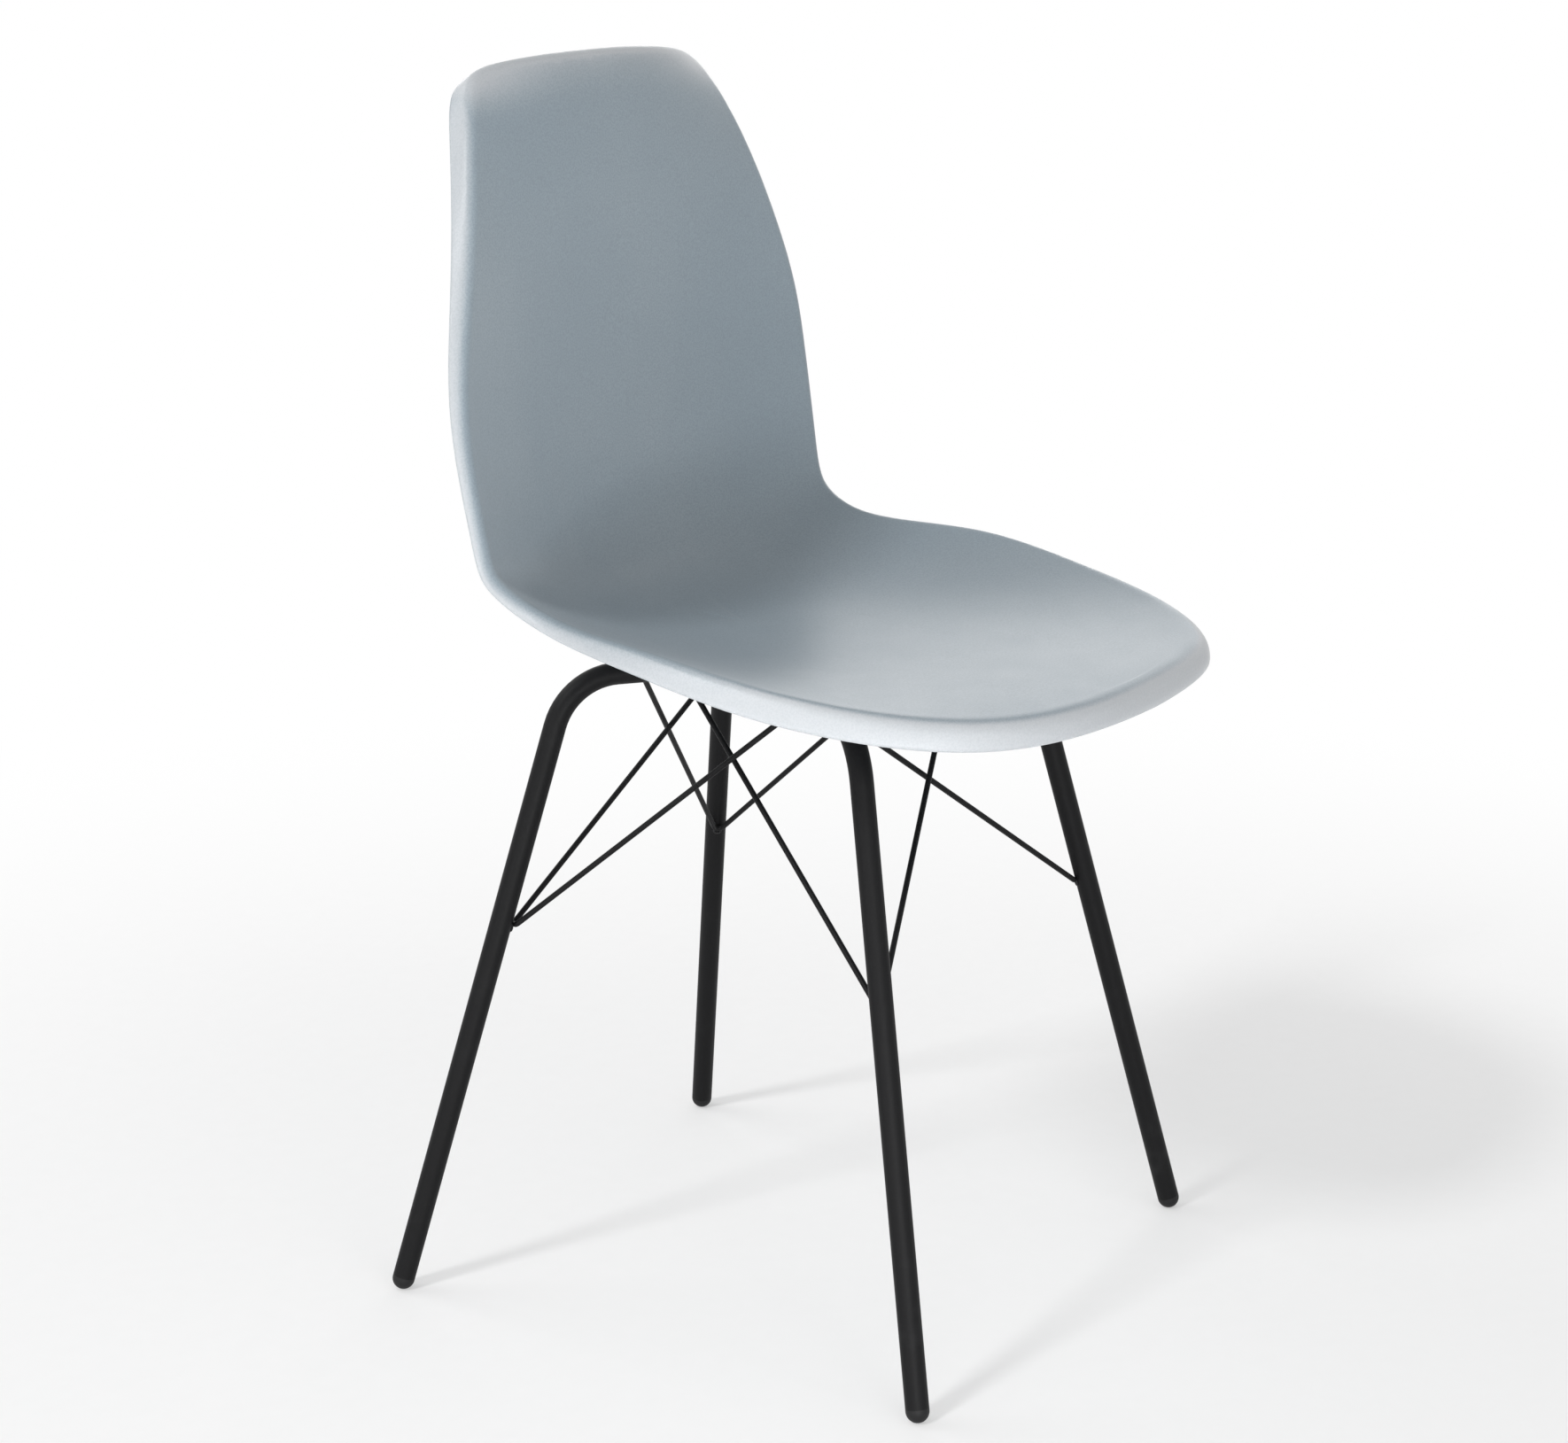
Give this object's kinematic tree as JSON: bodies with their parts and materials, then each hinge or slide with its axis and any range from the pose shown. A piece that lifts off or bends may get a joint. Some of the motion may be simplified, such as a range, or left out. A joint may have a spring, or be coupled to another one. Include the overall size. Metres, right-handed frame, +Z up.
{
  "type": "moulded plastic shell chair",
  "caption": "Dining chair with a one-piece moulded plastic seat and back shell on a black frame of bent tube legs tied by crossed wire braces.",
  "frame": {"origin": "on the floor, under the middle of the chair's overall width and length", "axes": "+Z up, -Y the way the sitter faces, +X the sitter's left"},
  "size_m": [0.489, 0.4928, 0.8646],
  "materials": {
    "shell_plastic": "satin with a fine moulded grain, light blue grey",
    "frame_paint": "satin black powder coat",
    "foot_plastic": "black, satin",
    "cushion_rubber": "matte black",
    "insert_brass": "machined",
    "screw_steel": "bright zinc plated"
  },
  "bodies": {
    "root": {"seat_shell": "shell_plastic", "mounting_plate": "frame_paint", "leg_front_right": "frame_paint", "leg_front_left": "frame_paint", "leg_rear_right": "frame_paint", "leg_rear_left": "frame_paint", "brace_front_right": "frame_paint", "brace_front_left": "frame_paint", "brace_rear_right": "frame_paint", "brace_rear_left": "frame_paint", "foot_front_right": "foot_plastic", "foot_front_left": "foot_plastic", "foot_rear_right": "foot_plastic", "foot_rear_left": "foot_plastic", "cushion_front_right": "cushion_rubber", "cushion_front_left": "cushion_rubber", "cushion_rear_right": "cushion_rubber", "cushion_rear_left": "cushion_rubber", "threaded_inserts": "insert_brass", "shell_screws": "screw_steel", "screw_washers": "screw_steel"}
  },
  "joints": []
}
